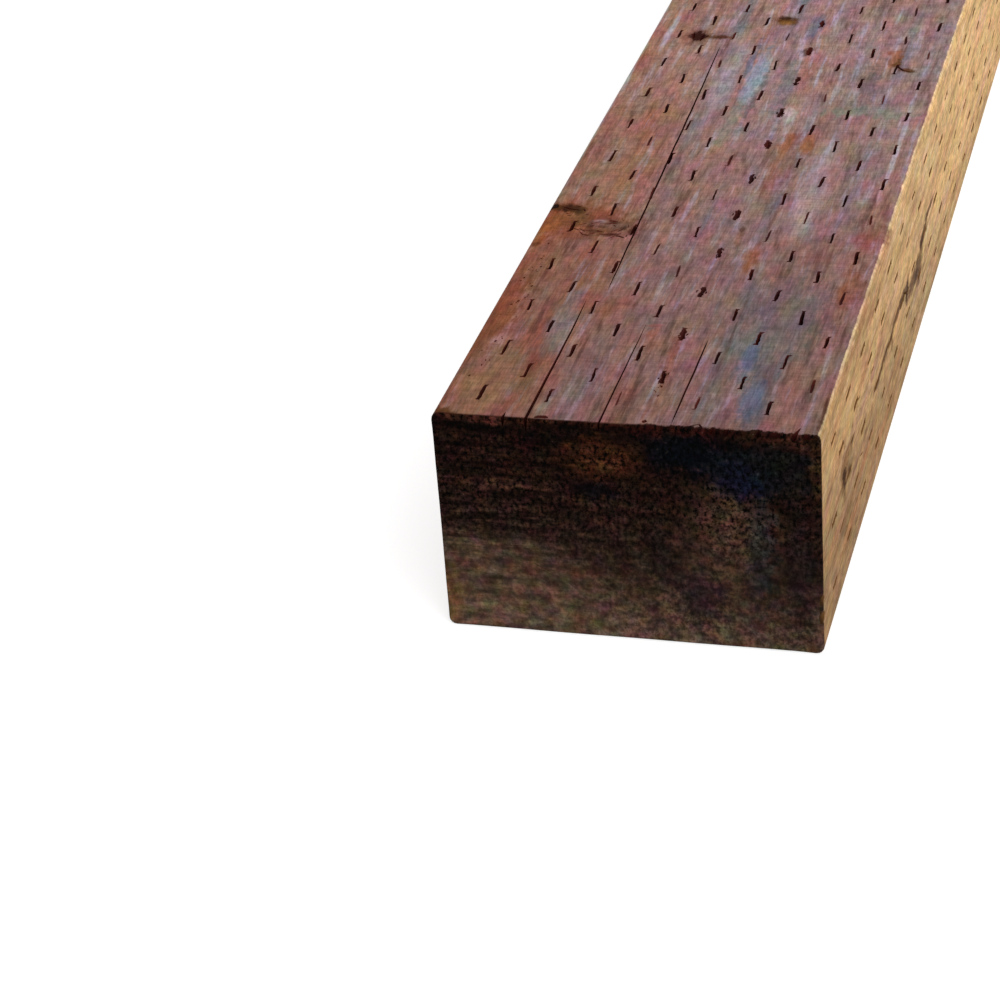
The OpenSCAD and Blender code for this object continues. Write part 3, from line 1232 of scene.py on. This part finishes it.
def wood_relief(net, place, size, from_middle):
    """The height of raised fibres and planer marks, and of torn end grain, in millimetres."""
    fibre = net.noise(place, (0.8, 9, 0.8), 3, 0.6)
    planed = net.noise(place, (26, 0.9, 26), 1)
    torn = net.noise(place, (1.5, 900, 1.3), 3, 0.65)
    long_face = net.fit(fibre, 0.25, net.times(planed, 0.1))
    share = net.rise(from_middle, size.y / 2 - 0.6, size.y / 2 - 0.2)
    return net.between(share, long_face, net.times(torn, 0.8))


def treated_wood(size, corner):
    """The one material of the beam: stained faces, a pale narrow face and dark end grain."""
    material, net = new_material("treated_wood")
    place = wood_place(net, corner)
    _, y, _ = net.parts(place)
    from_middle = net.maths("ABSOLUTE", net.less(y, size.y / 2))
    net.feed(net.shader.inputs["Base Color"], wood_colour(net, place, size, from_middle))
    bump = net.node("ShaderNodeBump")
    bump.inputs["Distance"].default_value = MM
    net.feed(bump.inputs["Height"], wood_relief(net, place, size, from_middle))
    net.feed(net.shader.inputs["Normal"], bump.outputs[0])
    sheen = net.noise(place, (6, 60, 6), 2, 0.6)
    net.feed(net.shader.inputs["Roughness"], net.fit(sheen, 0.25, 0.6))
    net.shader.inputs["Specular IOR Level"].default_value = 0.02
    return material


# ---- floor and light

FLOOR_SIZE = 40  # metres
FLOOR_COLOUR = (0.7, 0.7, 0.7)
FLOOR_CATCH = (0.6, 0.6, 0.6)
FLOOR_LIFT = 0.62  # how brightly the seen floor glows
WORLD_LIGHT = 0.65
SUN_SIDE = (0.55, -0.6, 0.8)
SUN_POWER = 1.3
SUN_ANGLE = math.radians(40)


def seen_ray(net):
    """1 for a ray that shows what it meets: straight, by reflection or through a clear piece."""
    path = net.node("ShaderNodeLightPath").outputs
    seen = net.maths("MAXIMUM", path["Is Camera Ray"], path["Is Glossy Ray"])
    return net.maths("MAXIMUM", seen, path["Is Transmission Ray"])


def floor_material():
    """Pale for the light that it throws back, and white where it is seen out of the shadow."""
    material, net = new_material("pale_floor")
    net.feed(net.shader.inputs["Base Color"], FLOOR_COLOUR)
    net.shader.inputs["Roughness"].default_value = 0.9
    seen = seen_ray(net)
    lift = net.node("ShaderNodeEmission", WHITE, FLOOR_LIFT)
    catch = net.node("ShaderNodeBsdfDiffuse", FLOOR_CATCH)
    shown = net.node("ShaderNodeAddShader", lift.outputs[0], catch.outputs[0])
    both = net.node("ShaderNodeMixShader", seen, net.shader.outputs[0], shown.outputs[0])
    net.feed(net.tree.nodes["Material Output"].inputs["Surface"], both.outputs[0])
    return material


def make_floor():
    half = FLOOR_SIZE / 2
    data = bpy.data.meshes.new("floor")
    corners = [(-half, -half, 0), (half, -half, 0), (half, half, 0), (-half, half, 0)]
    data.from_pydata(corners, [], [(0, 1, 2, 3)])
    data.materials.append(floor_material())
    floor = add_object("floor", data)


def make_world():
    """Even white light all round, and a white backdrop."""
    scene.world = bpy.data.worlds.new("studio")
    scene.world.use_nodes = True
    net = Net(scene.world.node_tree)
    net.tree.nodes.clear()
    seen = seen_ray(net)
    light = net.node("ShaderNodeBackground", WHITE, WORLD_LIGHT)
    backdrop = net.node("ShaderNodeBackground", WHITE, 1)
    both = net.node("ShaderNodeMixShader", seen, light.outputs[0], backdrop.outputs[0])
    net.node("ShaderNodeOutputWorld", both.outputs[0])


def make_sun():
    """One broad soft light, from above and to the right of the near end."""
    data = bpy.data.lights.new("key", "SUN")
    data.energy = SUN_POWER
    data.angle = SUN_ANGLE
    sun = add_object("key", data)
    sun.rotation_euler = Vector(SUN_SIDE).to_track_quat("Z", "Y").to_euler()


# ---- the scene

def clear_scene():
    """Empties the start-up scene of its cube, lamp and camera."""
    for made in list(bpy.data.objects):
        bpy.data.objects.remove(made)


clear_scene()
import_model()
scene.view_settings.view_transform = "Standard"
low, high = (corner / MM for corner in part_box("timber_beam"))
size = high - low
make_camera(low)
beam = make_object("timber_beam_wood", build_wood(size, {"top": top_splits(), "right": right_splits()}), low)
beam.data.materials.append(treated_wood(size, low))
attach(beam, "root")
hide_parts("timber_beam")
make_floor()
make_world()
make_sun()
